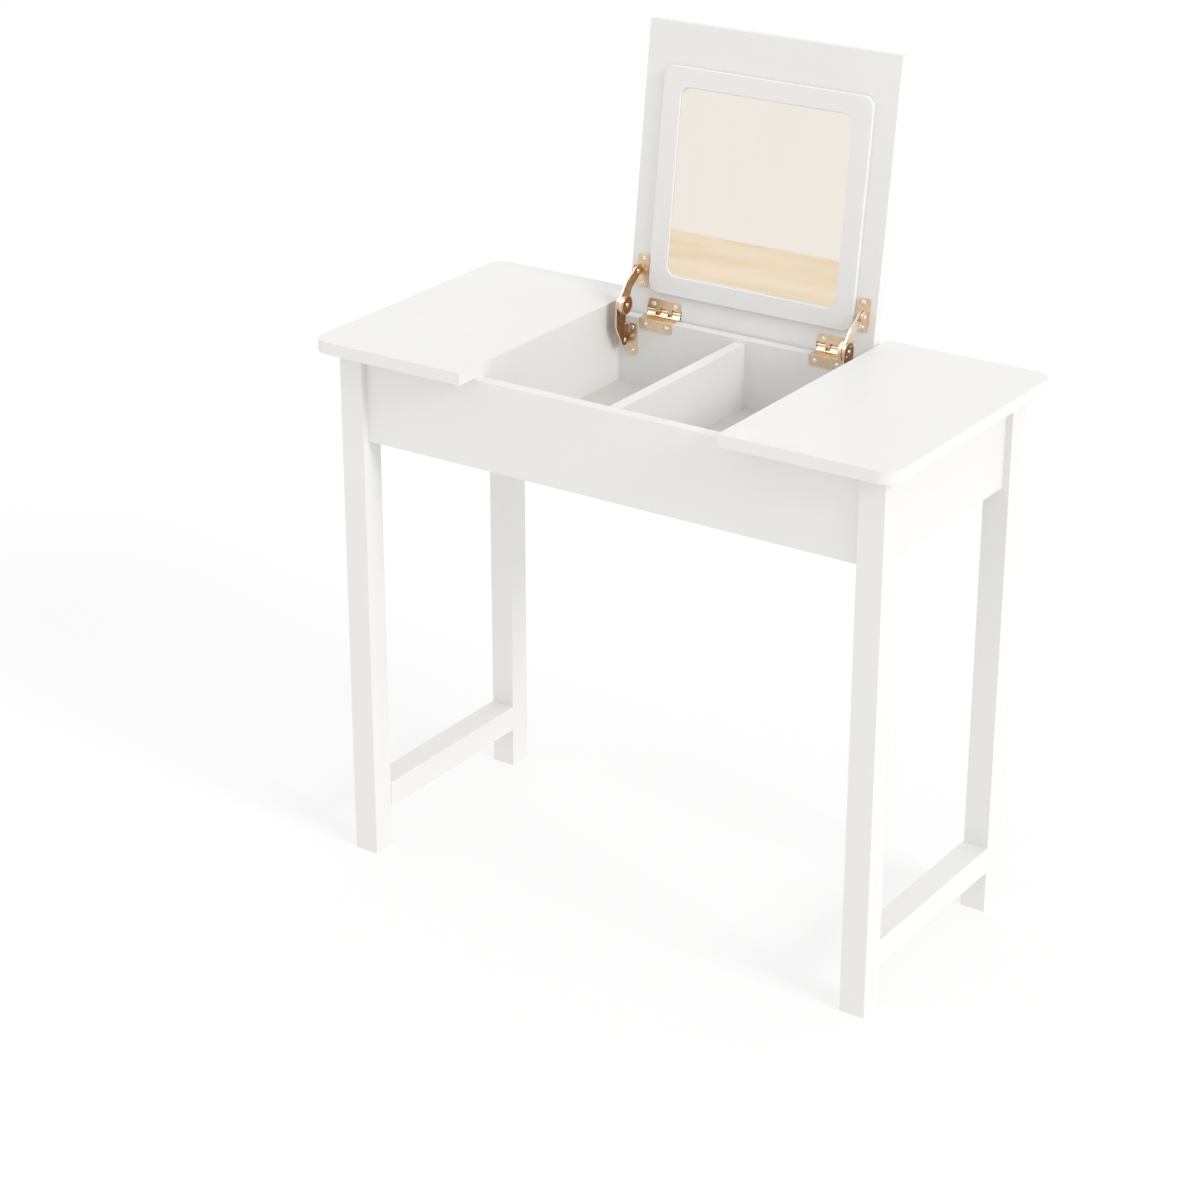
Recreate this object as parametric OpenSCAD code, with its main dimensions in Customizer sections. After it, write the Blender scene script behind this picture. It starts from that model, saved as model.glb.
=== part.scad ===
// Vanity table whose middle top is a lid: it lifts up over two compartments and carries a mirror underneath.
// Millimetres. +X is the right, +Y the back and +Z up. The origin is on the floor, midway between
// the sides, and midway between the top's front edge and the open lid's rearmost edge.
// The lid is modelled closed and then turned open, which is the table's rest pose.

/* [Top] */
// Width of the whole top
top_w = 630; // [580:5:700]
// Depth of the whole top
top_d = 304; // [300:2:340]
// Height of the top above the floor
top_h = 550; // [450:5:700]
// Thickness of every painted board
board_t = 12; // [12:0.5:14]
// Radius of the top's outer corners
corner_r = 17; // [6:1:30]
// Width of the opening between the two side tops
opening_w = 280; // [280:2:300]

/* [Frame] */
// Side of the square legs
leg_s = 26; // [24:1:32]
// How far the top reaches past the legs at each side
side_over = 18; // [10:1:24]
// How far the top reaches past the front legs
front_over = 20.5; // [16:0.5:24]
// How far the top reaches past the back legs
back_over = 17.5; // [16:0.5:20]
// Height of the rails under the top
rail_h = 91; // [84:1:110]
// How far the front and side rails sit behind the legs' outer faces
rail_set = 7; // [4:0.5:9]
// How far the back rail sits in front of the back legs' outer faces
back_rail_set = 9.5; // [9.5:0.5:12]
// Drop of the front and back rails' top edges inside the opening
rail_relief = 3; // [2.6:0.1:4]
// Side of the square bars that join the front and back legs
stretcher_s = 27; // [20:1:30]
// Height of the bars' underside above the floor
stretcher_z = 43.7; // [20:0.1:120]

/* [Compartments] */
// Height of the compartments' floor below the top's underside
well_h = 72; // [60:1:76]
// Thickness of the compartments' floor
floor_t = 6; // [3:0.5:8]
// Drop of the divider below the top's underside
divider_drop = 7; // [6:0.5:20]

/* [Lid and mirror] */
// Gap between the lid and each side top
lid_gap = 2.3; // [1:0.1:4]
// Angle that the lid opens to
open_angle = 97.3; // [91:0.1:100]
// Width of the mirror's frame
mirror_frame_w = 230; // [200:1:230]
// Height of the mirror's frame
mirror_frame_h = 223; // [200:1:223]
// Thickness of the mirror's frame
mirror_frame_t = 4.5; // [4:0.1:5]
// Corner radius of the mirror's frame
mirror_frame_r = 12; // [4:1:20]
// Width of the visible mirror
mirror_w = 189; // [150:1:200]
// Height of the visible mirror
mirror_h = 184; // [150:1:195]
// Corner radius of the visible mirror
mirror_r = 10; // [2:1:20]
// Thickness of the mirror glass
mirror_t = 3; // [2:0.5:3.5]

/* [Hinges] */
// Distance from the top's back edge to the hinge axis
hinge_set = 21.6; // [21:0.1:22.5]
// Height of the hinge axis above the lid's underside
hinge_up = 2; // [2:0.1:2.4]
// Distance from the table's centre to the middle of each hinge
hinge_mid = 96.3; // [60:0.1:96]
// Length of each hinge along its axis
hinge_w = 37.8; // [30:0.2:38]
// Thickness of the hinge leaves
leaf_t = 0.9; // [0.7:0.1:1]
// Radius of the hinge knuckles
knuckle_r = 2.2; // [2.1:0.1:2.4]
// Radius of the hinge pins
pin_r = 1.1; // [0.9:0.1:1.2]

/* [Lid stays] */
// Distance from the hinge axis to the stay's pivot on the lid, measured along the lid
stay_reach = 37.45; // [34:0.05:40]
// Drop from the hinge axis to the stay's pivot on the back rail
stay_drop = 27.5; // [26:0.1:30]
// Distance from a stay pivot to the board that its bracket is screwed to
stay_off = 8.3; // [8:0.1:9]
// Distance from the table's centre to the outer face of the stay brackets
stay_x = 130.4; // [130:0.1:131]
// Width of the stay brackets
bracket_w = 13; // [12.5:0.1:13.2]
// Length of the stay brackets
bracket_h = 33; // [30:1:34]
// Thickness of the stay brackets
bracket_t = 1.5; // [1.2:0.1:1.6]
// Width of each stay's upper arm at its middle
upper_arm_w = 12.6; // [11:0.1:13]
// Width of each stay's lower arm at its middle
lower_arm_w = 16; // [14:0.1:16]
// Thickness of the stay arms
arm_t = 1.6; // [1.2:0.1:1.6]
// How far the arms bow forwards between their pivots
arm_bow = 4.4; // [0:0.1:5]
// Radius of the friction drum at the stay's knee
drum_r = 9.6; // [8.5:0.1:9.8]
// Thickness of the friction drum
drum_t = 4.2; // [4:0.1:5]

/* [Hidden] */
$fn = 64;

// Colours
paint = [0.93, 0.92, 0.89];
bronze = [0.46, 0.30, 0.16];
steel = [0.80, 0.80, 0.79];
silvering = [0.86, 0.84, 0.80];
beech = [0.80, 0.64, 0.44];

// Radial clearance of every pin, screw and dowel in its hole, and end clearance of a blind hole
play = 0.05;
end_play = 0.5;
// Clearance between two stay parts that slide past each other
side_play = 0.3;

// The top
under_z = top_h - board_t;
half_w = top_w / 2;
half_open = opening_w / 2;
lean = open_angle - 90;
lid_reach = (top_d - hinge_set) * sin(lean) + (board_t - hinge_up) * cos(lean) - hinge_set;
front_y = -(top_d + lid_reach) / 2;
back_y = front_y + top_d;
mid_y = front_y + top_d / 2;

// Legs and rails: each pair is the lower and the higher limit on one axis, for the right-hand side
leg_x = [half_w - side_over - leg_s, half_w - side_over];
front_leg_y = [front_y + front_over, front_y + front_over + leg_s];
back_leg_y = [back_y - back_over - leg_s, back_y - back_over];
side_rail_x = [leg_x[1] - rail_set - board_t, leg_x[1] - rail_set];
front_rail_y = [front_leg_y[0] + rail_set, front_leg_y[0] + rail_set + board_t];
back_rail_y = [back_leg_y[1] - back_rail_set - board_t, back_leg_y[1] - back_rail_set];
between_legs_y = [front_leg_y[1], back_leg_y[0]];
stretcher_x = [leg_x[1] - stretcher_s, leg_x[1]];
rail_z = [under_z - rail_h, under_z];
rail_top = under_z - rail_relief;

// Compartments
partition_x = [half_open, half_open + board_t];
well_y = [front_rail_y[1], back_rail_y[0]];
well_z = under_z - well_h;

// Corner blocks, their bolts and their screws
block_h = 20;
block_leg = 42;
bolt_r = 3;
bolt_out = 10;
bolt_in = 42;
nut_r = 5.5;
nut_h = 5;
washer_r = 7;
washer_h = 1.2;

// Dowels: radius, and the depth that each sinks into a board's edge, a board's face and a leg
dowel_r = 3;
edge_depth = 16;
face_depth = 8;
leg_depth = 12;
dowel_inset = 13;
side_rail_shift = 12;

// Screws: shaft radius, head radius and head height
screw_r = 1.4;
head_r = 2.6;
head_h = 0.9;
wood_screw_r = 1.8;
wood_head_r = 3.6;
wood_head_h = 2.2;

// Hinges
axis_y = back_y - hinge_set;
axis_z = under_z + hinge_up;
hinge_x = [hinge_mid - hinge_w / 2, hinge_mid + hinge_w / 2];
knuckle_gap = 0.3;
knuckle_shares = [0, 0.25, 0.39, 0.61, 0.75, 1];
rail_knuckles = [for (i = [0, 2, 4]) knuckle_span(i)];
lid_knuckles = [for (i = [1, 3]) knuckle_span(i)];
shield_r = [knuckle_r + 0.3, knuckle_r + 1.5];
shield_low = 1.1;
step_y = [4.2, 3.2];
step_z = [-0.2, 1.4];
leaf_drop = 10.5;
leaf_reach = 12;
leaf_corner_r = 3;
strap_y = back_rail_y[1] + 0.9;
knuckle_room = 2.5;
leaf_end = 3.85;
strap_whole = 1.5;
lip_reach = 4.4;
lip_z = [-0.4, 0.5];
hinge_screw_dx = 12.2;
rail_screw_drop = 5.2;
lid_screw_back = 6.8;

// Lid stays: pivots as [y, z], first with the lid closed, then open
rail_pivot = [back_rail_y[0] - stay_off, axis_z - stay_drop];
lid_pivot_closed = [axis_y - stay_reach, under_z - stay_off];
lid_pivot = turned_open(lid_pivot_closed);
knee = rail_pivot + lid_pivot - [axis_y, axis_z];
ear_r = 5.3;
ear_front = 3.4;
ear_corner_r = 2;
rivet_r = 1.6;
rivet_head_r = 2.5;
rivet_head_h = 1;
knee_disc_r = drum_r - 0.6;
spring_rivet_r = 1.3;
spring_rivet_h = 0.6;
spring_rivet_set = 5.6;
tab_x = 5.2;
tab_t = 1.6;
tab_y = 0.4;
tab_z = [9, 17];
arm_eye_r = 5.6;
collar_r = 4;
bracket_corner_r = 3;
stay_screw_dz = 12;
stay_screw_x = stay_x - 7.2;
ear_x = [stay_x - bracket_t, stay_x];
lower_arm_x = [ear_x[0] - side_play - arm_t, ear_x[0] - side_play];
upper_arm_x = [lower_arm_x[0] - side_play - arm_t, lower_arm_x[0] - side_play];
drum_x = [upper_arm_x[0] - side_play - drum_t, upper_arm_x[0] - side_play];

// A point [y, z] of the closed lid, turned with the lid to its open angle
function turned_open(p) = [
    axis_y + (p[0] - axis_y) * cos(open_angle) + (p[1] - axis_z) * sin(open_angle),
    axis_z - (p[0] - axis_y) * sin(open_angle) + (p[1] - axis_z) * cos(open_angle)
];

// The X limits of knuckle i, counted outwards
function knuckle_span(i) = [
    hinge_x[0] + hinge_w * knuckle_shares[i] + (i > 0 ? knuckle_gap / 2 : 0),
    hinge_x[0] + hinge_w * knuckle_shares[i + 1] - (i < 4 ? knuckle_gap / 2 : 0)
];

// ---- Placing helpers ----

// A box between the limits on each axis
module block(x, y, z)
    translate([x[0], y[0], z[0]]) cube([x[1] - x[0], y[1] - y[0], z[1] - z[0]]);

// Right-hand parts as they are, left-hand parts mirrored
module on_side(side)
    if (side > 0) children();
    else mirror([1, 0, 0]) children();

module both_sides()
    for (side = [-1, 1]) on_side(side) children();

// Turns what belongs to the lid from closed to open
module opened()
    translate([0, axis_y, axis_z]) rotate([-open_angle, 0, 0]) translate([0, -axis_y, -axis_z]) children();

// An outline drawn in Y and Z, made solid between two X limits
module slab_x(x)
    translate([x[0], 0, 0]) rotate([90, 0, 90]) linear_extrude(x[1] - x[0]) children();

// A round bar along X through the point p = [y, z]
module bar_x(p, x, r)
    translate([x[0], p[0], p[1]]) rotate([0, 90, 0]) cylinder(r = r, h = x[1] - x[0]);

// A rectangle with four rounded corners, centred
module rounded_rect(w, h, r) {
    square([w - 2 * r, h], center = true);
    square([w, h - 2 * r], center = true);
    for (x = [-1, 1], y = [-1, 1]) translate([x * (w / 2 - r), y * (h / 2 - r)]) circle(r);
}

// A strip of width w from p to q
module strip(p, q, w) {
    run = q - p;
    translate(p) rotate(atan2(run[1], run[0])) translate([0, -w / 2]) square([norm(run), w]);
}

// ---- Fasteners: each lies along Z, with its head above z = 0 and its shaft below ----

// A dome of height h over a circle of radius r
module dome(r, h) {
    dome_r = (r * r + h * h) / (2 * h);
    intersection() {
        translate([0, 0, h - dome_r]) sphere(dome_r);
        cylinder(r = r, h = h);
    }
}

// A domed head with a cross recess
module screw_head(r, h)
    difference() {
        dome(r, h);
        for (a = [0, 90]) rotate(a) translate([-r * 0.55, -r * 0.12, h * 0.45]) cube([r * 1.1, r * 0.24, h]);
    }

module small_screw(len) {
    screw_head(head_r, head_h);
    translate([0, 0, -len]) cylinder(r = screw_r, h = len + head_h * 0.2);
}

module wood_screw(len) {
    screw_head(wood_head_r, wood_head_h);
    translate([0, 0, -len]) cylinder(r = wood_screw_r, h = len + wood_head_h * 0.2);
}

// The hole for a shaft, open at the surface
module shaft_hole(r, len)
    translate([0, 0, -len - end_play]) cylinder(r = r + play, h = len + end_play + 1);

// A dowel along Z that sinks `up` above z = 0 and `down` below it; its hole when extra is set
module dowel(up, down, extra = 0)
    translate([0, 0, -down - end_play * sign(extra)])
        cylinder(r = dowel_r + extra, h = up + down + 2 * end_play * sign(extra));

// ---- Where fasteners go ----

// Screws that hold each hinge to the back rail's inner face
module at_hinge_rail_screws()
    both_sides() for (dx = [-hinge_screw_dx, hinge_screw_dx])
        translate([hinge_mid + dx, back_rail_y[0] - leaf_t, rail_top - rail_screw_drop])
            rotate([90, 0, 0]) children();

// Screws that hold each hinge to the closed lid's underside
module at_hinge_lid_screws()
    both_sides() for (dx = [-hinge_screw_dx, hinge_screw_dx])
        translate([hinge_mid + dx, axis_y - lid_screw_back, under_z - leaf_t])
            rotate([180, 0, 0]) children();

module at_stay_rail_screws()
    both_sides() for (dz = [-stay_screw_dz, stay_screw_dz])
        translate([stay_screw_x, back_rail_y[0] - bracket_t, rail_pivot[1] + dz])
            rotate([90, 0, 0]) children();

module at_stay_lid_screws()
    both_sides() for (dy = [-stay_screw_dz, stay_screw_dz])
        translate([stay_screw_x, lid_pivot_closed[0] + dy, under_z - bracket_t])
            rotate([180, 0, 0]) children();

// Screws up through each corner block into the side top
module at_top_screws()
    both_sides() for (end = [-1, 1], set = [[8, 22.5], [26, 7.5]])
        translate([side_rail_x[0] - set[0], rail_inner_y(end) - end * set[1], under_z - block_h])
            rotate([180, 0, 0]) children();

// Screws up through the compartment floor into the partitions and the divider
module at_floor_screws() {
    for (x = [-1, 1] * (half_open + board_t / 2), dy = [-70, 0, 70])
        translate([x, mid_y + dy, well_z - floor_t]) rotate([180, 0, 0]) children();
    for (dy = [-50, 50])
        translate([0, mid_y + dy, well_z - floor_t]) rotate([180, 0, 0]) children();
}

// Bolts on the diagonal through each corner block into its leg, the nut's seat at the origin
module at_leg_bolts()
    both_sides() for (end = [-1, 1])
        translate([side_rail_x[0] - block_leg / 2, rail_inner_y(end) - end * block_leg / 2, under_z - block_h / 2])
            rotate([0, -90, end * 45]) children();

// Dowels between the rails and the legs
module at_rail_dowels() {
    both_sides() for (y = [front_rail_y, back_rail_y], z = [rail_z[0] + dowel_inset, rail_top - 2.4 * dowel_inset])
        translate([leg_x[0], (y[0] + y[1]) / 2, z]) rotate([0, 90, 0]) children();
    both_sides() for (end = [-1, 1], z = [rail_z[0] + dowel_inset, rail_top - 2.4 * dowel_inset])
        translate([(side_rail_x[0] + side_rail_x[1]) / 2, leg_inner_y(end), z + side_rail_shift])
            rotate([-90 * end, 0, 0]) children();
}

// Dowels between the stretchers and the legs
module at_stretcher_dowels()
    both_sides() for (end = [-1, 1], dz = [-6, 6])
        translate([(leg_x[0] + leg_x[1]) / 2, leg_inner_y(end), stretcher_z + stretcher_s / 2 + dz])
            rotate([-90 * end, 0, 0]) children();

// Dowels between the partitions or the divider and the front and back rails
module at_compartment_dowels()
    for (x = [-1, 0, 1] * (half_open + board_t / 2), end = [-1, 1], z = [well_z + 16, under_z - 22])
        translate([x, rail_inner_y(end), z]) rotate([-90 * end, 0, 0]) children();

// Dowels up from the partitions into the side tops
module at_top_dowels()
    for (x = [-1, 1] * (half_open + board_t / 2), dy = [-60, 0, 60])
        translate([x, mid_y + dy, under_z]) children();

// Inner faces of the rails and the legs, at the front (-1) or the back (1)
function rail_inner_y(end) = end < 0 ? front_rail_y[1] : back_rail_y[0];
function leg_inner_y(end) = end < 0 ? front_leg_y[1] : back_leg_y[0];

// ---- Table ----

module side_top() {
    straight_x = half_w - corner_r;
    difference() {
        union() {
            block([half_open, straight_x], [front_y, back_y], [under_z, top_h]);
            block([half_open, half_w], [front_y + corner_r, back_y - corner_r], [under_z, top_h]);
            for (y = [front_y + corner_r, back_y - corner_r])
                translate([straight_x, y, under_z]) cylinder(r = corner_r, h = board_t);
        }
        at_top_dowels() dowel(face_depth, edge_depth, play);
        at_top_screws() shaft_hole(wood_screw_r, block_h + face_depth);
    }
}
module left_top() color(paint) on_side(-1) side_top();
module right_top() color(paint) on_side(1) side_top();

// A rail between two legs, lower inside the opening
module long_rail(y)
    difference() {
        block([-leg_x[0], leg_x[0]], y, rail_z);
        block([-half_open, half_open], [y[0] - 1, y[1] + 1], [rail_top, under_z + 1]);
        at_rail_dowels() dowel(leg_depth, edge_depth, play);
        at_compartment_dowels() dowel(face_depth, edge_depth, play);
    }
module front_rail() color(paint) long_rail(front_rail_y);
module back_rail() color(paint) difference() {
    long_rail(back_rail_y);
    at_hinge_rail_screws() shaft_hole(screw_r, 9);
    at_stay_rail_screws() shaft_hole(screw_r, 10);
}

module side_rail()
    difference() {
        block(side_rail_x, between_legs_y, rail_z);
        at_rail_dowels() dowel(leg_depth, edge_depth, play);
    }
module left_side_rail() color(paint) on_side(-1) side_rail();
module right_side_rail() color(paint) on_side(1) side_rail();

module leg(y)
    difference() {
        block(leg_x, y, [0, under_z]);
        at_rail_dowels() dowel(leg_depth, edge_depth, play);
        at_stretcher_dowels() dowel(leg_depth, edge_depth, play);
        at_leg_bolts() shaft_hole(bolt_r, bolt_in);
    }
module left_front_leg() color(paint) on_side(-1) leg(front_leg_y);
module right_front_leg() color(paint) on_side(1) leg(front_leg_y);
module left_back_leg() color(paint) on_side(-1) leg(back_leg_y);
module right_back_leg() color(paint) on_side(1) leg(back_leg_y);

module stretcher()
    difference() {
        block(stretcher_x, between_legs_y, [stretcher_z, stretcher_z + stretcher_s]);
        at_stretcher_dowels() dowel(leg_depth, edge_depth, play);
    }
module left_stretcher() color(paint) on_side(-1) stretcher();
module right_stretcher() color(paint) on_side(1) stretcher();

module partition()
    difference() {
        block(partition_x, well_y, [well_z, under_z]);
        at_compartment_dowels() dowel(face_depth, edge_depth, play);
        at_top_dowels() dowel(face_depth, edge_depth, play);
        at_floor_screws() shaft_hole(wood_screw_r, 22);
    }
module left_partition() color(paint) on_side(-1) partition();
module right_partition() color(paint) on_side(1) partition();

module divider() color(paint) difference() {
    block([-board_t / 2, board_t / 2], well_y, [well_z, under_z - divider_drop]);
    at_compartment_dowels() dowel(face_depth, edge_depth, play);
    at_floor_screws() shaft_hole(wood_screw_r, 22);
}

module compartment_floor() color(paint) difference() {
    block([-partition_x[1], partition_x[1]], well_y, [well_z - floor_t, well_z]);
    at_floor_screws() shaft_hole(wood_screw_r, 22);
}

// A three-cornered block behind a leg, between the long rail and the side rail
module corner_block(end) {
    rail_y = rail_inner_y(end);
    leg_y = leg_inner_y(end);
    difference() {
        translate([0, 0, under_z - block_h]) linear_extrude(block_h) polygon([
            [side_rail_x[0], leg_y],
            [side_rail_x[0], rail_y - end * block_leg],
            [side_rail_x[0] - block_leg, rail_y],
            [leg_x[0], rail_y],
            [leg_x[0], leg_y]
        ]);
        at_leg_bolts() shaft_hole(bolt_r, bolt_in);
        at_top_screws() shaft_hole(wood_screw_r, block_h + face_depth);
    }
}
module left_front_block() color(beech) on_side(-1) corner_block(-1);
module right_front_block() color(beech) on_side(1) corner_block(-1);
module left_back_block() color(beech) on_side(-1) corner_block(1);
module right_back_block() color(beech) on_side(1) corner_block(1);

// ---- Table fasteners ----

module leg_bolts() color(steel) at_leg_bolts() {
    translate([0, 0, -bolt_in]) cylinder(r = bolt_r, h = bolt_in + bolt_out);
    cylinder(r = washer_r, h = washer_h);
    translate([0, 0, washer_h]) cylinder(r = nut_r, h = nut_h, $fn = 6);
}
module top_screws() color(steel) at_top_screws() wood_screw(block_h + face_depth);
module floor_screws() color(steel) at_floor_screws() wood_screw(22);
module rail_dowels() color(beech) at_rail_dowels() dowel(leg_depth, edge_depth);
module stretcher_dowels() color(beech) at_stretcher_dowels() dowel(leg_depth, edge_depth);
module compartment_dowels() color(beech) at_compartment_dowels() dowel(face_depth, edge_depth);
module top_dowels() color(beech) at_top_dowels() dowel(face_depth, edge_depth);

// ---- Hinges ----

// The leaf on the back rail: down the inner face, over the top edge and, by a slanting strap, up to its
// three knuckles
module hinge_rail_leaf() {
    plate_z = [rail_top - leaf_drop, rail_top + leaf_t];
    strap_start = [strap_y, rail_top + leaf_t / 2];
    strap_run = [axis_y, axis_z] - strap_start;
    difference() {
        union() {
            translate([hinge_mid, back_rail_y[0], (plate_z[0] + plate_z[1]) / 2]) rotate([90, 0, 0])
                linear_extrude(leaf_t) rounded_rect(hinge_w, plate_z[1] - plate_z[0], leaf_corner_r);
            block(hinge_x, [back_rail_y[0] - leaf_t, back_rail_y[0]], [plate_z[0] + leaf_corner_r, plate_z[1]]);
            block(hinge_x, [back_rail_y[0] - leaf_t, strap_y], [rail_top, plate_z[1]]);
            slab_x(hinge_x) strip(strap_start, strap_start + strap_whole * strap_run / norm(strap_run), leaf_t);
            for (x = rail_knuckles) {
                slab_x(x) strip(strap_start, [axis_y, axis_z], leaf_t);
                bar_x([axis_y, axis_z], x, knuckle_r);
            }
        }
        bar_x([axis_y, axis_z], [hinge_x[0] - 1, hinge_x[1] + 1], pin_r + play);
        at_hinge_rail_screws() shaft_hole(screw_r, 9);
    }
}
module left_hinge_rail_leaf() color(bronze) on_side(-1) hinge_rail_leaf();
module right_hinge_rail_leaf() color(bronze) on_side(1) hinge_rail_leaf();

// The leaf's edge steps up into the lid and curls close round a knuckle of the rail leaf
module knuckle_shield(x) {
    intersection() {
        difference() {
            bar_x([axis_y, axis_z], x, shield_r[1]);
            bar_x([axis_y, axis_z], [x[0] - 1, x[1] + 1], shield_r[0]);
        }
        block(x, [axis_y - shield_r[1] - 1, axis_y], [axis_z - shield_low, axis_z + shield_r[1] + 1]);
    }
    block(x, [axis_y - step_y[0], axis_y - step_y[1]], [under_z + step_z[0], under_z + step_z[1]]);
}

// The leaf on the closed lid's underside, with its two knuckles, each ending in a lip that hides the gap
module hinge_lid_leaf() {
    plate_y = [axis_y - leaf_reach, axis_y - leaf_end];
    plate_z = [under_z - leaf_t, under_z];
    difference() {
        union() {
            translate([hinge_mid, plate_y[0] + 4, plate_z[0]]) linear_extrude(leaf_t)
                rounded_rect(hinge_w, 8, leaf_corner_r);
            block(hinge_x, [plate_y[0] + leaf_corner_r, plate_y[1]], plate_z);
            for (x = rail_knuckles) knuckle_shield(x);
            for (x = lid_knuckles) {
                block(x, [plate_y[1] - 1, axis_y], plate_z);
                block(x, [axis_y, axis_y + lip_reach], [axis_z + lip_z[0], axis_z + lip_z[1]]);
                bar_x([axis_y, axis_z], x, knuckle_r);
            }
        }
        bar_x([axis_y, axis_z], [hinge_x[0] - 1, hinge_x[1] + 1], pin_r + play);
        at_hinge_lid_screws() shaft_hole(screw_r, 9);
    }
}
module left_hinge_lid_leaf() color(bronze) opened() on_side(-1) hinge_lid_leaf();
module right_hinge_lid_leaf() color(bronze) opened() on_side(1) hinge_lid_leaf();

module left_hinge_pin() color(bronze) on_side(-1) bar_x([axis_y, axis_z], hinge_x, pin_r);
module right_hinge_pin() color(bronze) on_side(1) bar_x([axis_y, axis_z], hinge_x, pin_r);

module hinge_rail_screws() color(steel) at_hinge_rail_screws() small_screw(9);
module hinge_lid_screws() color(steel) opened() at_hinge_lid_screws() small_screw(9);

// ---- Lid and mirror ----

module lid_panel() color(paint) opened() difference() {
    block([-half_open + lid_gap, half_open - lid_gap], [front_y, back_y], [under_z, top_h]);
    both_sides() bar_x([axis_y, axis_z], [hinge_x[0] - 1, hinge_x[1] + 1], knuckle_r + knuckle_room);
    at_hinge_lid_screws() shaft_hole(screw_r, 9);
    at_stay_lid_screws() shaft_hole(screw_r, 9);
}

module mirror_frame() color(paint) opened()
    translate([0, mid_y, under_z - mirror_frame_t]) linear_extrude(mirror_frame_t) difference() {
        rounded_rect(mirror_frame_w, mirror_frame_h, mirror_frame_r);
        rounded_rect(mirror_w, mirror_h, mirror_r);
    }

module mirror_glass() color(silvering) opened()
    translate([0, mid_y, under_z - mirror_t]) linear_extrude(mirror_t)
        rounded_rect(mirror_w - 2 * play, mirror_h - 2 * play, mirror_r);

// ---- Lid stays: a bracket on the rail, a bracket on the lid, two arms and a friction drum at the knee ----

module stay_rail_bracket()
    difference() {
        union() {
            translate([stay_x - bracket_w / 2, back_rail_y[0], rail_pivot[1]]) rotate([90, 0, 0])
                linear_extrude(bracket_t) rounded_rect(bracket_w, bracket_h, bracket_corner_r);
            slab_x(ear_x) translate(rail_pivot + [(stay_off - ear_front) / 2, 0])
                rounded_rect(stay_off + ear_front, 2 * ear_r, ear_corner_r);
        }
        bar_x(rail_pivot, [ear_x[0] - 1, ear_x[1] + 1], rivet_r + play);
        at_stay_rail_screws() shaft_hole(screw_r, 10);
    }
module left_stay_rail_bracket() color(bronze) on_side(-1) stay_rail_bracket();
module right_stay_rail_bracket() color(bronze) on_side(1) stay_rail_bracket();

module stay_lid_bracket()
    difference() {
        union() {
            translate([stay_x - bracket_w / 2, lid_pivot_closed[0], under_z - bracket_t])
                linear_extrude(bracket_t) rounded_rect(bracket_w, bracket_h, bracket_corner_r);
            slab_x(ear_x) translate(lid_pivot_closed + [0, (stay_off - ear_front) / 2])
                rounded_rect(2 * ear_r, stay_off + ear_front, ear_corner_r);
        }
        bar_x(lid_pivot_closed, [ear_x[0] - 1, ear_x[1] + 1], rivet_r + play);
        at_stay_lid_screws() shaft_hole(screw_r, 9);
    }
module left_stay_lid_bracket() color(bronze) opened() on_side(-1) stay_lid_bracket();
module right_stay_lid_bracket() color(bronze) opened() on_side(1) stay_lid_bracket();

// A rivet at p: a shaft with a domed head at each end
module rivet(p, x) {
    bar_x(p, [x[0] - rivet_head_h / 4, x[1] + rivet_head_h / 4], rivet_r);
    translate([x[0], p[0], p[1]]) rotate([0, -90, 0]) dome(rivet_head_r, rivet_head_h);
    translate([x[1], p[0], p[1]]) rotate([0, 90, 0]) dome(rivet_head_r, rivet_head_h);
}

module stay_rail_rivet() rivet(rail_pivot, [lower_arm_x[0] - side_play, stay_x]);
module left_stay_rail_rivet() color(bronze) on_side(-1) stay_rail_rivet();
module right_stay_rail_rivet() color(bronze) on_side(1) stay_rail_rivet();

// The lid rivet has a collar that spaces the upper arm off the ear
module stay_lid_rivet() {
    rivet(lid_pivot, [upper_arm_x[0] - side_play, stay_x]);
    bar_x(lid_pivot, [upper_arm_x[1] + side_play, ear_x[0]], collar_r);
}
module left_stay_lid_rivet() color(bronze) on_side(-1) stay_lid_rivet();
module right_stay_lid_rivet() color(bronze) on_side(1) stay_lid_rivet();

module knee_rivet() rivet(knee, [drum_x[0], lower_arm_x[1]]);
module left_knee_rivet() color(bronze) on_side(-1) knee_rivet();
module right_knee_rivet() color(bronze) on_side(1) knee_rivet();

// An arm from its pivot p to the knee, of width w at its middle, where it bows forwards
module arm(p, x, w) {
    run = knee - p;
    forwards = [-abs(run[1]), sign(run[1]) * run[0]] / norm(run);
    middle = (p + knee) / 2 + arm_bow * forwards;
    difference() {
        for (end = [[p, arm_eye_r], [knee, knee_disc_r]])
            hull() {
                bar_x(end[0], x, end[1]);
                bar_x(middle, x, w / 2);
            }
        for (end = [p, knee]) bar_x(end, [x[0] - 1, x[1] + 1], rivet_r + play);
    }
}

// The lower arm carries a tab, bent inwards from its back edge, that stops it against the rail bracket,
// and on its outer face at the knee the two small rivets of the drum's spring
module lower_arm() {
    along = (lid_pivot - knee) / norm(lid_pivot - knee);
    arm(rail_pivot, lower_arm_x, lower_arm_w);
    block([lower_arm_x[0] - tab_x, lower_arm_x[1]],
        [rail_pivot[0] + tab_y, rail_pivot[0] + tab_y + tab_t],
        [rail_pivot[1] + tab_z[0], rail_pivot[1] + tab_z[1]]);
    for (side = [-1, 1])
        bar_x(knee + side * spring_rivet_set * along,
            [lower_arm_x[0] + arm_t / 2, lower_arm_x[1] + spring_rivet_h], spring_rivet_r);
}
module left_lower_arm() color(bronze) on_side(-1) lower_arm();
module right_lower_arm() color(bronze) on_side(1) lower_arm();

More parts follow.
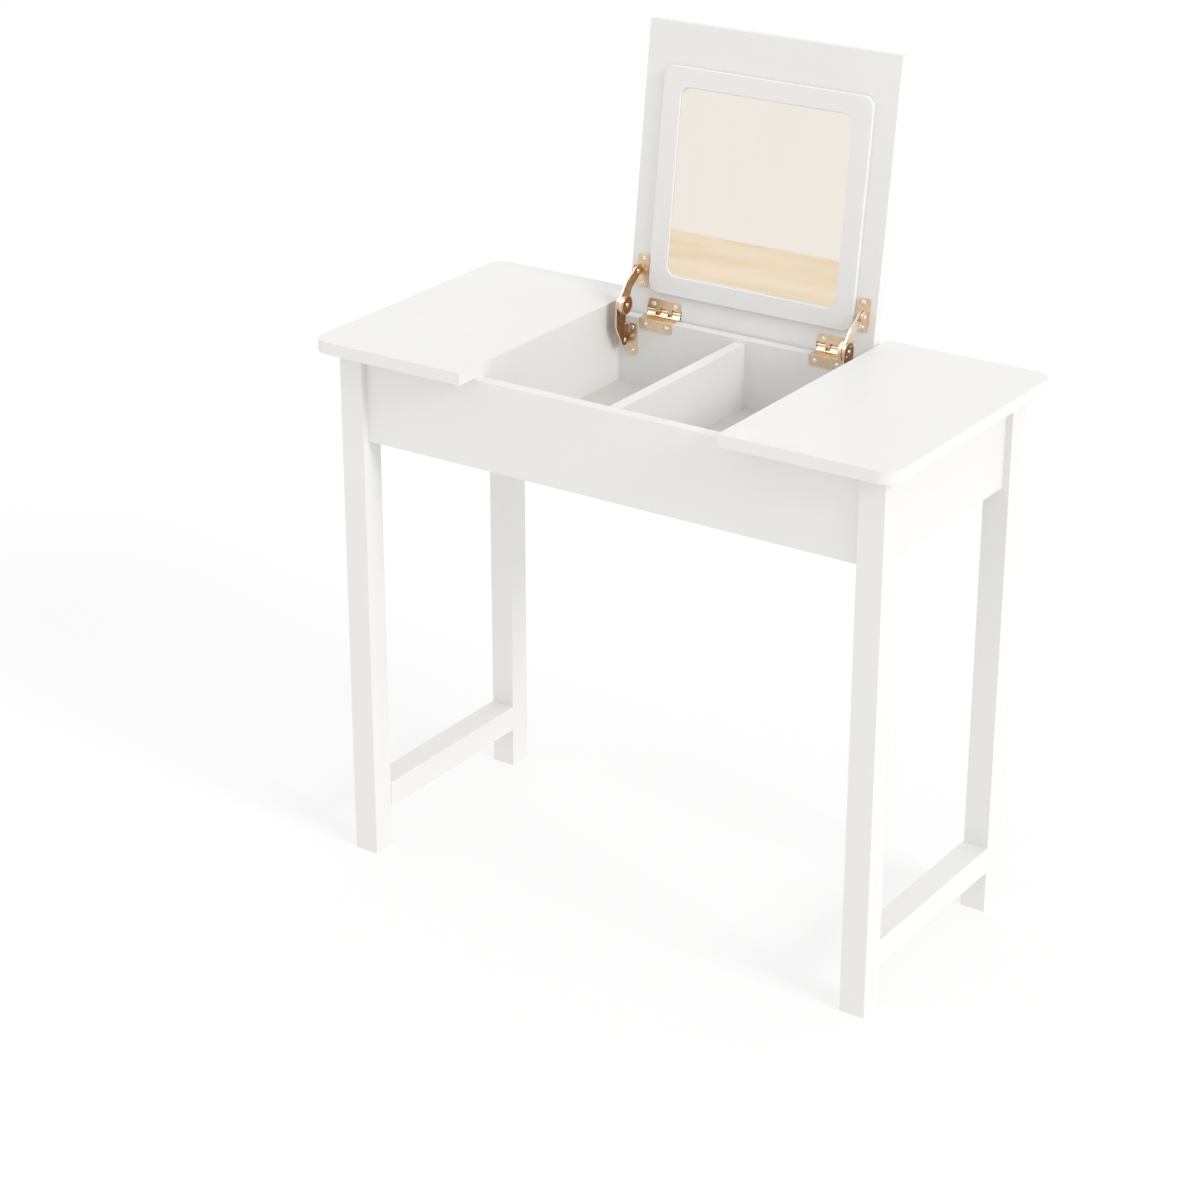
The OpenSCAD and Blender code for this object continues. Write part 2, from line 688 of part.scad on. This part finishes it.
module left_upper_arm() color(bronze) on_side(-1) arm(lid_pivot, upper_arm_x, upper_arm_w);
module right_upper_arm() color(bronze) on_side(1) arm(lid_pivot, upper_arm_x, upper_arm_w);

// The drum steps down to a shallow boss on its inner side
module friction_drum() {
    boss_t = drum_t * 0.1;
    difference() {
        union() {
            bar_x(knee, [drum_x[0] + boss_t, drum_x[1]], drum_r);
            bar_x(knee, [drum_x[0], drum_x[1]], drum_r * 0.86);
        }
        bar_x(knee, [drum_x[0] - 1, drum_x[1] + 1], rivet_r + play);
    }
}
module left_friction_drum() color(bronze) on_side(-1) friction_drum();
module right_friction_drum() color(bronze) on_side(1) friction_drum();

module stay_rail_screws() color(steel) at_stay_rail_screws() small_screw(10);
module stay_lid_screws() color(steel) opened() at_stay_lid_screws() small_screw(9);

left_top();
right_top();
front_rail();
back_rail();
left_side_rail();
right_side_rail();
left_front_leg();
right_front_leg();
left_back_leg();
right_back_leg();
left_stretcher();
right_stretcher();
left_partition();
right_partition();
divider();
compartment_floor();
left_front_block();
right_front_block();
left_back_block();
right_back_block();
leg_bolts();
top_screws();
floor_screws();
rail_dowels();
stretcher_dowels();
compartment_dowels();
top_dowels();
left_hinge_rail_leaf();
right_hinge_rail_leaf();
left_hinge_pin();
right_hinge_pin();
left_stay_rail_bracket();
right_stay_rail_bracket();
left_stay_rail_rivet();
right_stay_rail_rivet();
hinge_rail_screws();
stay_rail_screws();
lid_panel();
mirror_frame();
mirror_glass();
left_hinge_lid_leaf();
right_hinge_lid_leaf();
left_stay_lid_bracket();
right_stay_lid_bracket();
left_stay_lid_rivet();
right_stay_lid_rivet();
hinge_lid_screws();
stay_lid_screws();
left_lower_arm();
right_lower_arm();
left_friction_drum();
right_friction_drum();
left_knee_rivet();
right_knee_rivet();
left_upper_arm();
right_upper_arm();
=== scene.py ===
"""White vanity table with a flip-up mirror lid: its looks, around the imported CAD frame.

Metres, +Z up, +Y to the back. The CAD parts keep their shapes and places. Here their edges are
rounded by modifiers and they get their materials, and the camera, lights and stage are made.
"""
import math

import bpy
from mathutils import Matrix, Vector


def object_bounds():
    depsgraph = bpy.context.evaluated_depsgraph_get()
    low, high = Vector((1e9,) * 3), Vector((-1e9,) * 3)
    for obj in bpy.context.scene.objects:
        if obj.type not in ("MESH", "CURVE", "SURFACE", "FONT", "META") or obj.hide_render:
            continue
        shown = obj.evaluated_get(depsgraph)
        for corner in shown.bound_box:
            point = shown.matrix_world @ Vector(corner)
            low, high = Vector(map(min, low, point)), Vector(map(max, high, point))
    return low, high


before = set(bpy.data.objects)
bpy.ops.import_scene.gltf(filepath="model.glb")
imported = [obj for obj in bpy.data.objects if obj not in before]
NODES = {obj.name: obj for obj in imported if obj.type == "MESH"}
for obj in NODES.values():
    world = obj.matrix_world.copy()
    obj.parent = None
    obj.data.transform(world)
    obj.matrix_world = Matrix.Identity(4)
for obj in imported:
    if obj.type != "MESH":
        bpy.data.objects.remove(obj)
cad_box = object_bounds()
MM = 0.001

# ---- Camera ----

AZIMUTH = math.radians(33.932)
ELEVATION = math.radians(23.761)
ROLL = math.radians(0.075)
DISTANCE = 2.9352
LENS_MM = 91.045
SENSOR_MM = 36.0
CAMERA_REACH = 100.0
AIM_OFFSET = Vector((-0.0590, -0.0518, -0.1087))


def add_camera():
    """A camera that looks down on the table from the front and the right."""
    low, high = cad_box
    aim = (low + high) / 2 + AIM_OFFSET
    back = Vector((
        math.sin(AZIMUTH) * math.cos(ELEVATION),
        -math.cos(AZIMUTH) * math.cos(ELEVATION),
        math.sin(ELEVATION),
    ))
    data = bpy.data.cameras.new("camera")
    data.lens = LENS_MM
    data.sensor_width = SENSOR_MM
    data.clip_end = CAMERA_REACH
    camera = bpy.data.objects.new("camera", data)
    turn = back.to_track_quat("Z", "Y").to_matrix() @ Matrix.Rotation(ROLL, 3, "Z")
    camera.matrix_world = Matrix.Translation(aim + back * DISTANCE) @ turn.to_4x4()
    bpy.context.scene.collection.objects.link(camera)
    bpy.context.scene.camera = camera


# ---- Node helpers: each returns the socket that it gives ----

# The colour sockets of a Mix node, whose names its other kinds share
MIX_FIRST = 6
MIX_SECOND = 7
MIX_RESULT = 2

def principled(name):
    """A new material, its node tree and its Principled shader."""
    material = bpy.data.materials.new(name)
    material.use_nodes = True
    tree = material.node_tree
    return material, tree, tree.nodes["Principled BSDF"]


def object_coords(tree, scale=(1.0, 1.0, 1.0)):
    """Object coordinates in metres, times a scale: under 1 draws a pattern out along that axis."""
    coords = tree.nodes.new("ShaderNodeTexCoord")
    mapping = tree.nodes.new("ShaderNodeMapping")
    mapping.inputs["Scale"].default_value = scale
    tree.links.new(coords.outputs["Object"], mapping.inputs["Vector"])
    return mapping.outputs["Vector"]


def noise(tree, coords, cell, detail=2.0, roughness=0.5):
    """Noise whose features are about `cell` metres across."""
    node = tree.nodes.new("ShaderNodeTexNoise")
    node.inputs["Scale"].default_value = 1.0 / cell
    node.inputs["Detail"].default_value = detail
    node.inputs["Roughness"].default_value = roughness
    tree.links.new(coords, node.inputs["Vector"])
    return node.outputs["Fac"]


def remap(tree, value, start, end, low, high):
    """Takes start..end to low..high, and clamps."""
    node = tree.nodes.new("ShaderNodeMapRange")
    for name, number in (("From Min", start), ("From Max", end), ("To Min", low), ("To Max", high)):
        node.inputs[name].default_value = number
    tree.links.new(value, node.inputs["Value"])
    return node.outputs["Result"]


def absolute(tree, value):
    """The value without its sign."""
    node = tree.nodes.new("ShaderNodeMath")
    node.operation = "ABSOLUTE"
    tree.links.new(value, node.inputs["Value"])
    return node.outputs["Value"]


def mix_colour(tree, factor, first, second):
    """Blends two colours, each a socket or an RGB triple."""
    node = tree.nodes.new("ShaderNodeMix")
    node.data_type = "RGBA"
    tree.links.new(factor, node.inputs["Factor"])
    for index, value in ((MIX_FIRST, first), (MIX_SECOND, second)):
        socket = node.inputs[index]
        if isinstance(value, tuple):
            socket.default_value = (*value, 1.0)
        else:
            tree.links.new(value, socket)
    return node.outputs[MIX_RESULT]


def bump(tree, height, depth, under=None):
    """Bump from a height of 0..1, `depth` metres deep, over an earlier bump."""
    node = tree.nodes.new("ShaderNodeBump")
    node.inputs["Strength"].default_value = 1.0
    node.inputs["Distance"].default_value = depth
    tree.links.new(height, node.inputs["Height"])
    if under is not None:
        tree.links.new(under, node.inputs["Normal"])
    return node.outputs["Normal"]


def blotched(tree, cloud, first, second, start=0.35, end=0.65):
    """Goes from the first colour to the second as the noise goes from start to end."""
    return mix_colour(tree, remap(tree, cloud, start, end, 0.0, 1.0), first, second)


def set_roughness(tree, shader, cloud, low, high, start=0.3, end=0.7):
    """Takes the roughness from low to high as the noise goes from start to end."""
    tree.links.new(remap(tree, cloud, start, end, low, high), shader.inputs["Roughness"])


# ---- Materials: cells are the sizes of their features, in metres, and depths are their bumps' ----

PAINT_MOTTLE_CELL = 0.11
PAINT_SMEAR_CELL = 0.022
PAINT_PEEL_CELL = 0.0011
PAINT_PEEL_DEPTH = 0.000005
PAINT_WAVE_CELL = 0.014
PAINT_WAVE_DEPTH = 0.00002
PAINT_SPECULAR = 0.4
PAINT_ROUGH_RANGE = 0.1


def make_paint(name, shade, dip, rough):
    """Satin paint on board: sprayed texture and faint mottling between two close tones."""
    material, tree, shader = principled(name)
    coords = object_coords(tree)
    low = tuple(channel - dip for channel in shade)
    mottle = blotched(tree, noise(tree, coords, PAINT_MOTTLE_CELL, detail=3.0), low, shade)
    tree.links.new(mottle, shader.inputs["Base Color"])
    smear = noise(tree, coords, PAINT_SMEAR_CELL, detail=4.0)
    set_roughness(tree, shader, smear, rough, rough + PAINT_ROUGH_RANGE)
    peel = bump(tree, noise(tree, coords, PAINT_PEEL_CELL, detail=1.0), PAINT_PEEL_DEPTH)
    waves = bump(tree, noise(tree, coords, PAINT_WAVE_CELL, detail=2.0), PAINT_WAVE_DEPTH, peel)
    tree.links.new(waves, shader.inputs["Normal"])
    shader.inputs["Specular IOR Level"].default_value = PAINT_SPECULAR
    return material


SIDEWAYS_START = 0.7
SIDEWAYS_END = 0.95


def sideways(tree):
    """1 on faces that look along X, either way, falling to 0 on faces turned well away from it: the mask
    for the bronze's painted highlight.
    """
    geometry = tree.nodes.new("ShaderNodeNewGeometry")
    split = tree.nodes.new("ShaderNodeSeparateXYZ")
    tree.links.new(geometry.outputs["Normal"], split.inputs["Vector"])
    turned = absolute(tree, split.outputs["X"])
    return remap(tree, turned, SIDEWAYS_START, SIDEWAYS_END, 0.0, 1.0)


STAIN_CELL = 0.004
SCRATCH_CELL = 0.0004
SCRATCH_DEPTH = 0.000008
SCRATCH_SCALE = (0.15, 1.0, 1.0)
BRONZE_ROUGH_RANGE = 0.16


def make_bronze(name, body, dark, rough, rim_highlight=None):
    """Antique bronze plating: stained darker in patches and finely scratched; where a pale colour is given,
    its faces turned away from X are painted pale, a painted highlight.
    """
    material, tree, shader = principled(name)
    coords = object_coords(tree)
    cloud = noise(tree, coords, STAIN_CELL, detail=4.0, roughness=0.6)
    stained = blotched(tree, cloud, body, dark, 0.42, 0.72)
    # Painted highlight: faces turned away from X take the pale colour instead of the stained one
    if rim_highlight is not None:
        stained = mix_colour(tree, sideways(tree), rim_highlight, stained)
    tree.links.new(stained, shader.inputs["Base Color"])
    scratches = noise(tree, object_coords(tree, SCRATCH_SCALE), SCRATCH_CELL, detail=3.0)
    set_roughness(tree, shader, cloud, rough, rough + BRONZE_ROUGH_RANGE)
    tree.links.new(bump(tree, scratches, SCRATCH_DEPTH), shader.inputs["Normal"])
    shader.inputs["Metallic"].default_value = 1.0
    return material


NICKEL_CELL = 0.0015
NICKEL_TONES = ((0.80, 0.79, 0.77), (0.93, 0.92, 0.90))


def make_nickel():
    """Bright nickel plating on the screws and bolts."""
    material, tree, shader = principled("nickel")
    coords = object_coords(tree)
    cloud = noise(tree, coords, NICKEL_CELL, detail=3.0)
    tree.links.new(blotched(tree, cloud, *NICKEL_TONES), shader.inputs["Base Color"])
    set_roughness(tree, shader, cloud, 0.12, 0.24)
    shader.inputs["Metallic"].default_value = 1.0
    return material


WIPE_CELL = 0.03
WIPE_SCALE = (1.0, 1.0, 0.35)
SILVER_TONES = ((0.925, 0.925, 0.915), (0.94, 0.94, 0.93))


def make_mirror():
    """Silvered glass with the faintest wipe marks."""
    material, tree, shader = principled("silvered_glass")
    wipes = noise(tree, object_coords(tree, WIPE_SCALE), WIPE_CELL, detail=4.0, roughness=0.6)
    set_roughness(tree, shader, wipes, 0.004, 0.03, 0.4, 0.8)
    tree.links.new(blotched(tree, wipes, *SILVER_TONES, 0.3, 0.7), shader.inputs["Base Color"])
    shader.inputs["Metallic"].default_value = 1.0
    return material


GRAIN_CELL = 0.0035
GRAIN_DEPTH = 0.00008
GRAIN_TONES = ((0.62, 0.41, 0.23), (0.76, 0.56, 0.36))
FLECK_CELL = 0.0012
FLECK_SCALE = 0.6
FLECK_TONE = (0.48, 0.29, 0.15)


def make_beech(name, scale):
    """Plain planed beech with its grain along the axis whose scale is least."""
    material, tree, shader = principled(name)
    grain = noise(tree, object_coords(tree, scale), GRAIN_CELL, detail=4.0, roughness=0.65)
    along_fleck = tuple(s * FLECK_SCALE for s in scale)
    fleck = noise(tree, object_coords(tree, along_fleck), FLECK_CELL, detail=2.0)
    wood = blotched(tree, grain, *GRAIN_TONES)
    flecked = mix_colour(tree, remap(tree, fleck, 0.60, 0.70, 0.0, 0.5), wood, FLECK_TONE)
    tree.links.new(flecked, shader.inputs["Base Color"])
    set_roughness(tree, shader, grain, 0.5, 0.65)
    tree.links.new(bump(tree, grain, GRAIN_DEPTH), shader.inputs["Normal"])
    return material


# ---- Finishing the CAD nodes ----

WELD_WITHIN = 0.001 * MM
FLAT_WITHIN = math.radians(0.5)
SHARP_OVER = math.radians(40.0)
FACE_WEIGHT = 100

def round_edges(node, radius, segments):
    """Rounds a node's sharp edges: its flat faces are joined first, and the flats keep their shading."""
    mesh = node.data
    if "custom_normal" in mesh.attributes:
        mesh.attributes.remove(mesh.attributes["custom_normal"])
    mesh.polygons.foreach_set("use_smooth", [True] * len(mesh.polygons))
    weld = node.modifiers.new("weld", "WELD")
    weld.merge_threshold = WELD_WITHIN
    flatten = node.modifiers.new("flatten", "DECIMATE")
    flatten.decimate_type = "DISSOLVE"
    flatten.angle_limit = FLAT_WITHIN
    bevel = node.modifiers.new("bevel", "BEVEL")
    bevel.width = radius
    bevel.segments = segments
    bevel.limit_method = "ANGLE"
    bevel.angle_limit = SHARP_OVER
    bevel.material = len(mesh.materials) - 1
    shade = node.modifiers.new("shade", "WEIGHTED_NORMAL")
    shade.weight = FACE_WEIGHT
    shade.keep_sharp = False


def finish_nodes(names, materials, radius, segments):
    """Gives each named node its materials, the last of them on its edges, and rounds those edges."""
    for name in names:
        node = NODES[name]
        node.data.materials.clear()
        for material in materials:
            node.data.materials.append(material)
        round_edges(node, radius, segments)


def sided(*names):
    """The left and the right node of each name."""
    return [f"{side}_{name}" for name in names for side in ("left", "right")]


def finish_painted():
    """The painted boards and legs, and the mirror."""
    paint = [
        make_paint("satin_paint", (0.800, 0.795, 0.785), 0.012, 0.36),
        # The edge paint is a little lighter than the body: a painted highlight on the rounded edges
        make_paint("satin_paint_highlit_edges", (0.835, 0.831, 0.823), 0.008, 0.28),
    ]
    finish_nodes(sided("top") + ["lid_panel"], paint, 2.4 * MM, 4)
    finish_nodes(sided("front_leg", "back_leg"), paint, 1.5 * MM, 3)
    finish_nodes(sided("stretcher"), paint, 1.2 * MM, 3)
    boards = ["front_rail", "back_rail", "divider"]
    finish_nodes(boards + sided("side_rail", "partition"), paint, 0.8 * MM, 3)
    # The compartment floor is painted greyer than the boards: painted shade for the dim well it lies in
    painted_shade_grey = [make_paint("grey_paint_painted_shade", (0.700, 0.690, 0.672), 0.02, 0.5)]
    finish_nodes(["compartment_floor"], painted_shade_grey, 0.8 * MM, 3)
    finish_nodes(["mirror_frame"], paint, 1.1 * MM, 4)
    finish_nodes(["mirror_glass"], [make_mirror()], 0.3 * MM, 2)


def finish_bronze():
    """The hinges and the lid stays. The two upper arms are one bronze painted in two tones, a painted
    reflection: darker on the left, lighter on the right.
    """
    # Pale bronze on the bevelled edges and the rivets: rubbed wear, and partly a painted highlight, most of
    # all on the drums' wider rims
    rubbed_and_highlit = make_bronze("bronze_rubbed_and_highlit_edges", (0.95, 0.84, 0.69), (0.86, 0.70, 0.52), 0.16)
    # Pale colour painted on the arms' and drums' faces turned away from X: a painted highlight
    rim_highlight = (0.86, 0.71, 0.54)
    plates = [make_bronze("bronze_plates", (0.82, 0.655, 0.48), (0.72, 0.545, 0.375), 0.26), rubbed_and_highlit]
    # One bronze in two tones: painted reflections, the left arm darker and the right arm lighter
    left_upper = [
        make_bronze("bronze_left_upper_painted_dark_reflection", (0.62, 0.41, 0.24), (0.48, 0.29, 0.15), 0.26, rim_highlight),
        rubbed_and_highlit,
    ]
    right_upper = [
        make_bronze("bronze_right_upper_painted_bright_reflection", (0.90, 0.79, 0.65), (0.80, 0.66, 0.50), 0.22, rim_highlight),
        rubbed_and_highlit,
    ]
    lower_arms = [
        make_bronze("bronze_lower_arms", (0.40, 0.205, 0.085), (0.27, 0.125, 0.045), 0.30, rim_highlight),
        rubbed_and_highlit,
    ]
    finish_nodes(sided("hinge_rail_leaf", "hinge_lid_leaf", "hinge_pin"), plates, 0.22 * MM, 2)
    finish_nodes(sided("stay_rail_bracket", "stay_lid_bracket"), plates, 0.3 * MM, 2)
    finish_nodes(["left_upper_arm"], left_upper, 0.3 * MM, 2)
    finish_nodes(["right_upper_arm"], right_upper, 0.3 * MM, 2)
    finish_nodes(sided("lower_arm"), lower_arms, 0.25 * MM, 2)
    finish_nodes(sided("friction_drum"), lower_arms, 0.7 * MM, 3)
    finish_nodes(sided("stay_rail_rivet", "stay_lid_rivet", "knee_rivet"), [rubbed_and_highlit], 0.15 * MM, 2)


def finish_screws():
    """The screws and the leg bolts."""
    nickel = [make_nickel()]
    small = ["hinge_rail_screws", "stay_rail_screws", "hinge_lid_screws", "stay_lid_screws"]
    finish_nodes(small, nickel, 0.08 * MM, 1)
    finish_nodes(["leg_bolts", "top_screws", "floor_screws"], nickel, 0.2 * MM, 1)


def finish_beech():
    """The corner blocks and the dowels."""
    upright = [make_beech("beech_along_z", (1.0, 1.0, 0.08))]
    along_x = [make_beech("beech_along_x", (0.08, 1.0, 1.0))]
    along_y = [make_beech("beech_along_y", (1.0, 0.08, 1.0))]
    blocks = [f"{side}_{end}_block" for side in ("left", "right") for end in ("front", "back")]
    finish_nodes(blocks, along_x, 0.8 * MM, 2)
    finish_nodes(["top_dowels"], upright, 0.4 * MM, 2)
    finish_nodes(["rail_dowels"], along_x, 0.4 * MM, 2)
    finish_nodes(["stretcher_dowels", "compartment_dowels"], along_y, 0.4 * MM, 2)


# ---- Stage and light ----

WORLD_LIGHT = 0.97
WORLD_TINT = (1.0, 1.0, 0.995)
KEY_LIGHT = 1.10
KEY_AZIMUTH = 81.0
KEY_ELEVATION = 30.0
KEY_SPREAD = 20.0
KEY_TINT = (1.0, 0.998, 0.99)
FLOOR_GLOW = 0.62
FLOOR_GREY = 0.34
FLOOR_MOTTLE = 1.02
FLOOR_CELL = 0.8
BOUNCE_DROP = 0.001
BOUNCE_GLOW = 0.95
STAGE_SIZE = 16.0
BACKDROP_LIGHT = 1.02
BACKDROP_SIDES = 48
BACKDROP_START = -0.1


def make_world():
    """Even soft light from all round."""
    world = bpy.data.worlds.new("soft_light")
    world.use_nodes = True
    background = world.node_tree.nodes["Background"]
    background.inputs["Color"].default_value = (*WORLD_TINT, 1.0)
    background.inputs["Strength"].default_value = WORLD_LIGHT
    bpy.context.scene.world = world


def stage_object(name, corners, faces, material):
    """A stage mesh from its corners."""
    mesh = bpy.data.meshes.new(name)
    mesh.from_pydata(corners, [], faces)
    mesh.materials.append(material)
    made = bpy.data.objects.new(name, mesh)
    bpy.context.scene.collection.objects.link(made)
    return made


def seen_only_by(made, camera=False, glossy=False, diffuse=False):
    """Leaves a stage object visible to the named kinds of rays only."""
    made.visible_camera = camera
    made.visible_glossy = glossy
    made.visible_diffuse = diffuse
    made.visible_transmission = False
    made.visible_volume_scatter = False
    made.visible_shadow = False


def glowing(name, first, second, cell, strength):
    """A softly mottled emissive stage material."""
    material, tree, shader = principled(name)
    cloud = noise(tree, object_coords(tree), cell, detail=2.0)
    colour = blotched(tree, cloud, first, second)
    shader.inputs["Base Color"].default_value = (0.0, 0.0, 0.0, 1.0)
    shader.inputs["Specular IOR Level"].default_value = 0.0
    tree.links.new(colour, shader.inputs["Emission Color"])
    shader.inputs["Emission Strength"].default_value = strength
    return material


def floor_plane(name, z, material):
    """A square plane under the whole stage."""
    s = STAGE_SIZE
    return stage_object(name, [(-s, -s, z), (s, -s, z), (s, s, z), (-s, s, z)], [(0, 1, 2, 3)], material)


def make_floor():
    """A pale floor whose own glow keeps the shadows on it faint, over one that only lights the table."""
    material, tree, shader = principled("pale_floor")
    cloud = noise(tree, object_coords(tree), FLOOR_CELL, detail=2.0)
    grey = (FLOOR_GREY,) * 3
    colour = mix_colour(tree, cloud, grey, tuple(g * FLOOR_MOTTLE for g in grey))
    tree.links.new(colour, shader.inputs["Base Color"])
    shader.inputs["Roughness"].default_value = 0.9
    shader.inputs["Specular IOR Level"].default_value = 0.0
    shader.inputs["Emission Color"].default_value = (1.0, 1.0, 1.0, 1.0)
    shader.inputs["Emission Strength"].default_value = FLOOR_GLOW
    seen_only_by(floor_plane("floor", 0.0, material), camera=True, glossy=True)
    soft = glowing("floor_bounce", (1.0, 0.995, 0.985), (0.99, 0.985, 0.975), 1.0, BOUNCE_GLOW)
    seen_only_by(floor_plane("floor_bounce", -BOUNCE_DROP, soft), diffuse=True)


def make_backdrop():
    """A wide white drum round the stage, which only the camera sees."""
    sides = BACKDROP_SIDES
    turns = [2 * math.pi * i / sides for i in range(sides)]
    ring = [(math.cos(t) * STAGE_SIZE, math.sin(t) * STAGE_SIZE) for t in turns]
    corners = [(x, y, z) for z in (BACKDROP_START, STAGE_SIZE) for x, y in ring]
    walls = [(i, (i + 1) % sides, sides + (i + 1) % sides, sides + i) for i in range(sides)]
    lid = [tuple(range(sides, 2 * sides))]
    white = glowing("white_backdrop", (1.0, 1.0, 1.0), (0.995, 0.995, 0.995), 3.0, BACKDROP_LIGHT)
    seen_only_by(stage_object("backdrop", corners, walls + lid, white), camera=True)


ROOM_DISTANCE = 6.7
ROOM_WIDTH = 18.0
ROOM_HEIGHT = 6.0
BOARDS_START = 1.2
BOARDS_LIFT = 0.002


def make_room_reflection():
    """What the mirror looks out on: a cream wall in front of the table, over a strip of pale wood floor."""
    low = cad_box[0]
    y = low.y - ROOM_DISTANCE
    x = ROOM_WIDTH / 2
    near = low.y - BOARDS_START
    lift = BOARDS_LIFT
    cream = glowing("cream_wall", (0.92, 0.855, 0.785), (0.94, 0.885, 0.825), 2.5, 1.0)
    wood = glowing("pale_boards", (0.87, 0.71, 0.50), (0.93, 0.80, 0.62), 0.5, 1.0)
    wall = [(-x, y, 0), (x, y, 0), (x, y, ROOM_HEIGHT), (-x, y, ROOM_HEIGHT)]
    boards = [(-x, y, lift), (x, y, lift), (x, near, lift), (-x, near, lift)]
    seen_only_by(stage_object("cream_wall", wall, [(0, 1, 2, 3)], cream), glossy=True)
    seen_only_by(stage_object("pale_boards", boards, [(0, 1, 2, 3)], wood), glossy=True)


SOFTBOX_TOWARDS = Vector((-0.50, -0.42, 0.76))
SOFTBOX_DISTANCE = 7.0
SOFTBOX_HALF = 1.6
SOFTBOX_LIGHT = 3.5


def make_softbox():
    """A bright panel up in front on the left, which only reflections see: it lights the metal's edges."""
    low, high = cad_box
    centre = (low + high) / 2 + SOFTBOX_TOWARDS.normalized() * SOFTBOX_DISTANCE
    turn = SOFTBOX_TOWARDS.to_track_quat("Z", "Y").to_matrix()
    h = SOFTBOX_HALF
    corners = [centre + turn @ Vector((x, y, 0)) for x, y in ((-h, -h), (h, -h), (h, h), (-h, h))]
    panel = glowing("softbox", (1.0, 0.99, 0.97), (1.0, 0.98, 0.95), 1.0, SOFTBOX_LIGHT)
    seen_only_by(stage_object("softbox", corners, [(0, 1, 2, 3)], panel), glossy=True)


def add_sun(name, azimuth, elevation, strength, spread, colour):
    """A distant light from that azimuth (0 is the front, 90 the right) and elevation, in degrees."""
    data = bpy.data.lights.new(name, "SUN")
    data.energy = strength
    data.angle = math.radians(spread)
    data.color = colour
    a, e = math.radians(azimuth), math.radians(elevation)
    towards = Vector((math.sin(a) * math.cos(e), -math.cos(a) * math.cos(e), math.sin(e)))
    light = bpy.data.objects.new(name, data)
    light.matrix_world = towards.to_track_quat("Z", "Y").to_matrix().to_4x4()
    bpy.context.scene.collection.objects.link(light)


def make_stage():
    """The floor, the backdrop, the lights and what the mirror shows."""
    make_world()
    make_floor()
    make_backdrop()
    make_room_reflection()
    make_softbox()
    add_sun("key_light", KEY_AZIMUTH, KEY_ELEVATION, KEY_LIGHT, KEY_SPREAD, KEY_TINT)
    view = bpy.context.scene.view_settings
    view.view_transform = "Standard"
    view.look = "None"
    view.exposure = 0.0


add_camera()
finish_painted()
finish_bronze()
finish_screws()
finish_beech()
make_stage()
